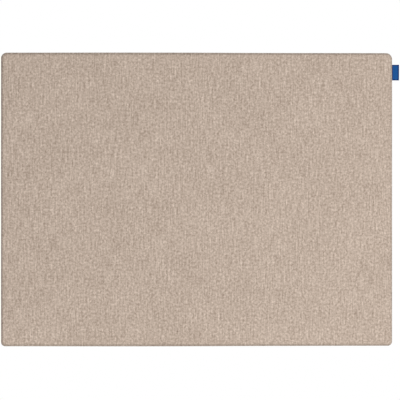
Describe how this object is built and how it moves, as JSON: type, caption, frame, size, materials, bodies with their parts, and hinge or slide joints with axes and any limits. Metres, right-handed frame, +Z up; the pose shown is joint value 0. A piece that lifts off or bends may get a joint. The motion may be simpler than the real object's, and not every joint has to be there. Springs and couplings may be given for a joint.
{
  "type": "fabric-covered pinboard with wall rail",
  "caption": "Landscape pinboard covered in woven fabric over a soft panel and a wooden frame, hooked on an aluminium wall rail, with a folded label in its side seam.",
  "frame": {"origin": "middle of the wall rail's back face, on the wall plane, level with the middle of its screw slots", "axes": "+X to the right of the board as it is looked at, +Y into the wall, +Z up"},
  "size_m": [1.018, 0.0299, 0.75],
  "materials": {
    "cover_fabric": "heathered beige-grey woven wool, with slubs that run up the board",
    "fleece": "thin white polyester fleece",
    "soft_fibreboard": "porous wood-fibre pinning board",
    "felt_core": "pressed polyester felt",
    "frame_wood": "planed pine",
    "back_fleece": "dark spun-bonded backing cloth with small bond points",
    "rail_aluminium": "extruded and brushed",
    "zinc_steel": "zinc-plated",
    "bumper_rubber": "matt black rubber",
    "label_weave": "blue woven ribbon, folded double, with plain edges"
  },
  "bodies": {
    "wall": {"wall_rail": "rail_aluminium"},
    "board": {"hanger_rail": "rail_aluminium", "fabric_front": "cover_fabric", "fabric_side_band": "cover_fabric", "fleece_wadding": "fleece", "pin_panel": "soft_fibreboard", "acoustic_core_left": "felt_core", "acoustic_core_right": "felt_core", "top_rail": "frame_wood", "bottom_rail": "frame_wood", "left_stile": "frame_wood", "right_stile": "frame_wood", "centre_brace": "frame_wood", "brace_dowel_top_left": "frame_wood", "brace_dowel_top_right": "frame_wood", "brace_dowel_bottom_left": "frame_wood", "brace_dowel_bottom_right": "frame_wood", "back_liner": "back_fleece", "corner_plate_top_left": "zinc_steel", "corner_plate_top_right": "zinc_steel", "corner_plate_bottom_left": "zinc_steel", "corner_plate_bottom_right": "zinc_steel", "corner_screw_top_left_1": "zinc_steel", "corner_screw_top_left_2": "zinc_steel", "corner_screw_top_left_3": "zinc_steel", "corner_screw_top_left_4": "zinc_steel", "corner_screw_top_right_1": "zinc_steel", "corner_screw_top_right_2": "zinc_steel", "corner_screw_top_right_3": "zinc_steel", "corner_screw_top_right_4": "zinc_steel", "corner_screw_bottom_left_1": "zinc_steel", "corner_screw_bottom_left_2": "zinc_steel", "corner_screw_bottom_left_3": "zinc_steel", "corner_screw_bottom_left_4": "zinc_steel", "corner_screw_bottom_right_1": "zinc_steel", "corner_screw_bottom_right_2": "zinc_steel", "corner_screw_bottom_right_3": "zinc_steel", "corner_screw_bottom_right_4": "zinc_steel", "hanger_screw_1": "zinc_steel", "hanger_screw_2": "zinc_steel", "hanger_screw_3": "zinc_steel", "hanger_screw_4": "zinc_steel", "hanger_screw_5": "zinc_steel", "hanger_screw_6": "zinc_steel", "bumper_left": "bumper_rubber", "bumper_right": "bumper_rubber", "bumper_screw_left": "zinc_steel", "bumper_screw_right": "zinc_steel"},
    "label": {"label_tab": "label_weave"}
  },
  "joints": [
    {"name": "lift_off", "type": "slide", "parent": "wall", "child": "board", "axis": [0, 0, 1], "range_m": [0, 0.016]},
    {"name": "label_flex", "type": "hinge", "parent": "board", "child": "label", "pos_m": [0.5009, -0.02425, 0.0194], "axis": [0, 0, 1], "range_deg": [-85, 85], "stiffness_Nm_per_rad": 0.001}
  ]
}
